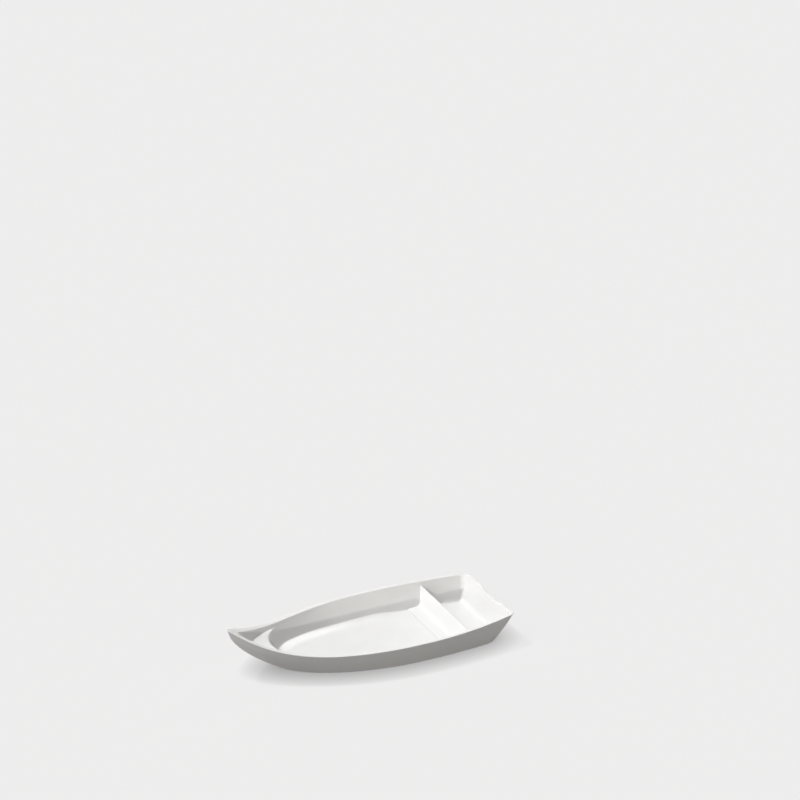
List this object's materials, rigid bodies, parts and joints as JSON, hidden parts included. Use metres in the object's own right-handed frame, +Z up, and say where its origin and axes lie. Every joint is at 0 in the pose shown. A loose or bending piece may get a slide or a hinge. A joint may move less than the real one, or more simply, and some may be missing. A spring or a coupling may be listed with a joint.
{
  "type": "sushi boat",
  "caption": "Glossy white serving boat with an upswept pointed bow, flared sides, a raised bow deck, a scooped raked transom and a lift-out divider across its shallow well.",
  "frame": {"origin": "middle of the boat's length and beam, on the plane of the foot rim that it stands on", "axes": "+X to the bow, +Y to port, +Z up"},
  "size_m": [0.2706, 0.122, 0.0486],
  "materials": {
    "gloss_white": "glossy moulded melamine, smooth, with softly rounded rims and a matt foot rim"
  },
  "bodies": {
    "hull": {"hull": "gloss_white"},
    "divider": {"divider": "gloss_white"}
  },
  "joints": [
    {"name": "divider_lift", "type": "slide", "parent": "hull", "child": "divider", "axis": [0, 0, 1], "range_m": [0, 0.06]}
  ]
}
